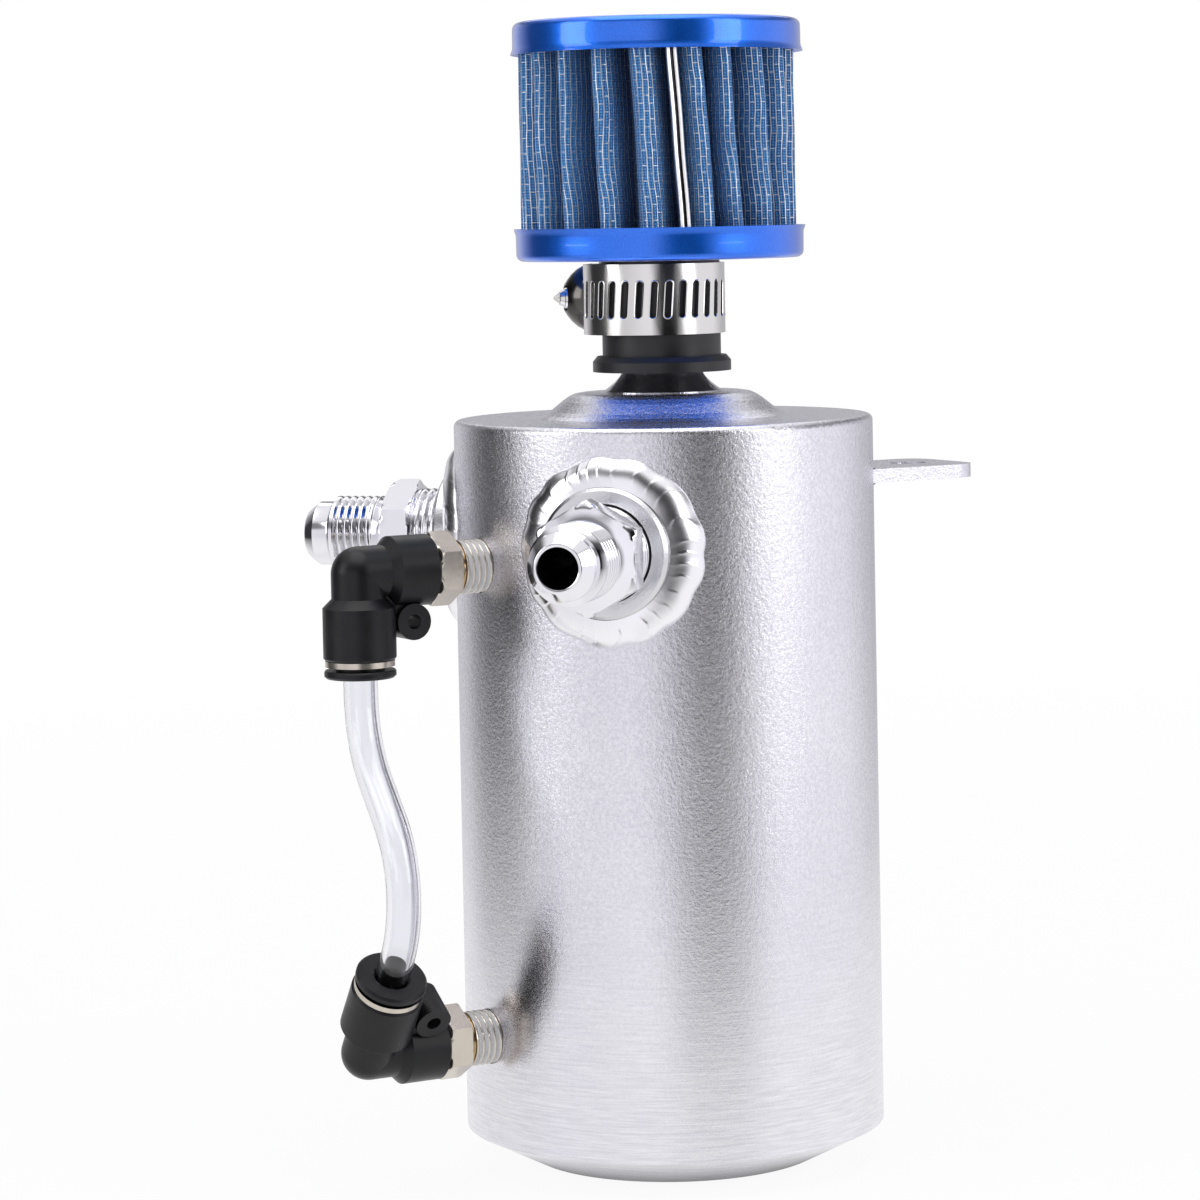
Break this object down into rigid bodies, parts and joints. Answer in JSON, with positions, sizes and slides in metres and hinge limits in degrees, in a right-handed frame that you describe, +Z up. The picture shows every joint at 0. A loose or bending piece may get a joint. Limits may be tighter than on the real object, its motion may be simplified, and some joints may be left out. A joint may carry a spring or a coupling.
{
  "type": "oil catch can",
  "caption": "Welded aluminium oil catch can with a clamped breather filter, two hose fittings, a clear sight tube between push-in elbows and a mounting tab.",
  "frame": {"origin": "centre of the base that the can stands on", "axes": "+Z up along the tank's axis; -Y is the way the front hose port points; the side port points along -X"},
  "size_m": [0.1177, 0.1177, 0.2056],
  "materials": {
    "satin_alloy": "bead-blasted satin",
    "polished_alloy": "polished",
    "weld_alloy": "bright rippled weld",
    "plated_brass": "nickel plated",
    "black_nylon": "moulded satin",
    "clear_tube": "clear polyurethane",
    "seal_rubber": "moulded",
    "black_rubber": "moulded satin",
    "blue_metal": "glossy metallic blue",
    "blue_gauze": "cotton gauze under fine bright wire mesh",
    "bright_steel": "bright",
    "stainless": "polished stainless"
  },
  "bodies": {
    "tank": {"tank_wall_tube": "satin_alloy", "top_plate": "satin_alloy", "bottom_plate": "satin_alloy", "drain_boss": "satin_alloy", "drain_plug": "plated_brass", "neck_pipe": "polished_alloy", "front_boss": "polished_alloy", "front_weld": "weld_alloy", "front_seal": "seal_rubber", "front_fitting": "polished_alloy", "side_boss": "polished_alloy", "side_weld": "weld_alloy", "side_seal": "seal_rubber", "side_fitting": "polished_alloy", "mounting_tab": "satin_alloy", "tab_weld_bead": "weld_alloy", "upper_stem": "plated_brass", "upper_stem_seal": "seal_rubber", "lower_stem": "plated_brass", "lower_stem_seal": "seal_rubber", "sight_tube": "clear_tube", "rubber_base": "black_rubber", "bottom_cap": "blue_metal", "pleated_media": "blue_gauze", "seam_clip": "bright_steel", "top_potting": "black_rubber", "top_cap": "blue_metal", "clamp_band": "stainless", "clamp_housing": "stainless"},
    "upper_elbow_group": {"upper_elbow": "black_nylon", "upper_guide_ring": "plated_brass", "upper_grab_ring": "stainless", "upper_tube_seal": "seal_rubber"},
    "lower_elbow_group": {"lower_elbow": "black_nylon", "lower_guide_ring": "plated_brass", "lower_grab_ring": "stainless", "lower_tube_seal": "seal_rubber"},
    "upper_release": {"upper_release_ring": "black_nylon"},
    "lower_release": {"lower_release_ring": "black_nylon"},
    "worm": {"clamp_screw": "stainless"}
  },
  "joints": [
    {"name": "upper_elbow_swivel", "type": "hinge", "parent": "tank", "child": "upper_elbow_group", "pos_m": [-0.04363, -0.04363, 0.1091], "axis": [-0.7071, -0.7071, 0], "range_deg": [-10, 10], "deforming": ["sight_tube"]},
    {"name": "lower_elbow_swivel", "type": "hinge", "parent": "tank", "child": "lower_elbow_group", "pos_m": [-0.04363, -0.04363, 0.0251], "axis": [-0.7071, -0.7071, 0], "range_deg": [-10, 10], "deforming": ["sight_tube"]},
    {"name": "upper_release_push", "type": "slide", "parent": "upper_elbow_group", "child": "upper_release", "axis": [0, 0, 1], "range_m": [0, 0.0005]},
    {"name": "lower_release_push", "type": "slide", "parent": "lower_elbow_group", "child": "lower_release", "axis": [-0.3954, 0.3954, -0.829], "range_m": [0, 0.0005]},
    {"name": "worm_turn", "type": "hinge", "parent": "tank", "child": "worm", "pos_m": [-0.00875, 0.01489, 0.15545], "axis": [0.891, 0.454, 0], "continuous": true}
  ]
}
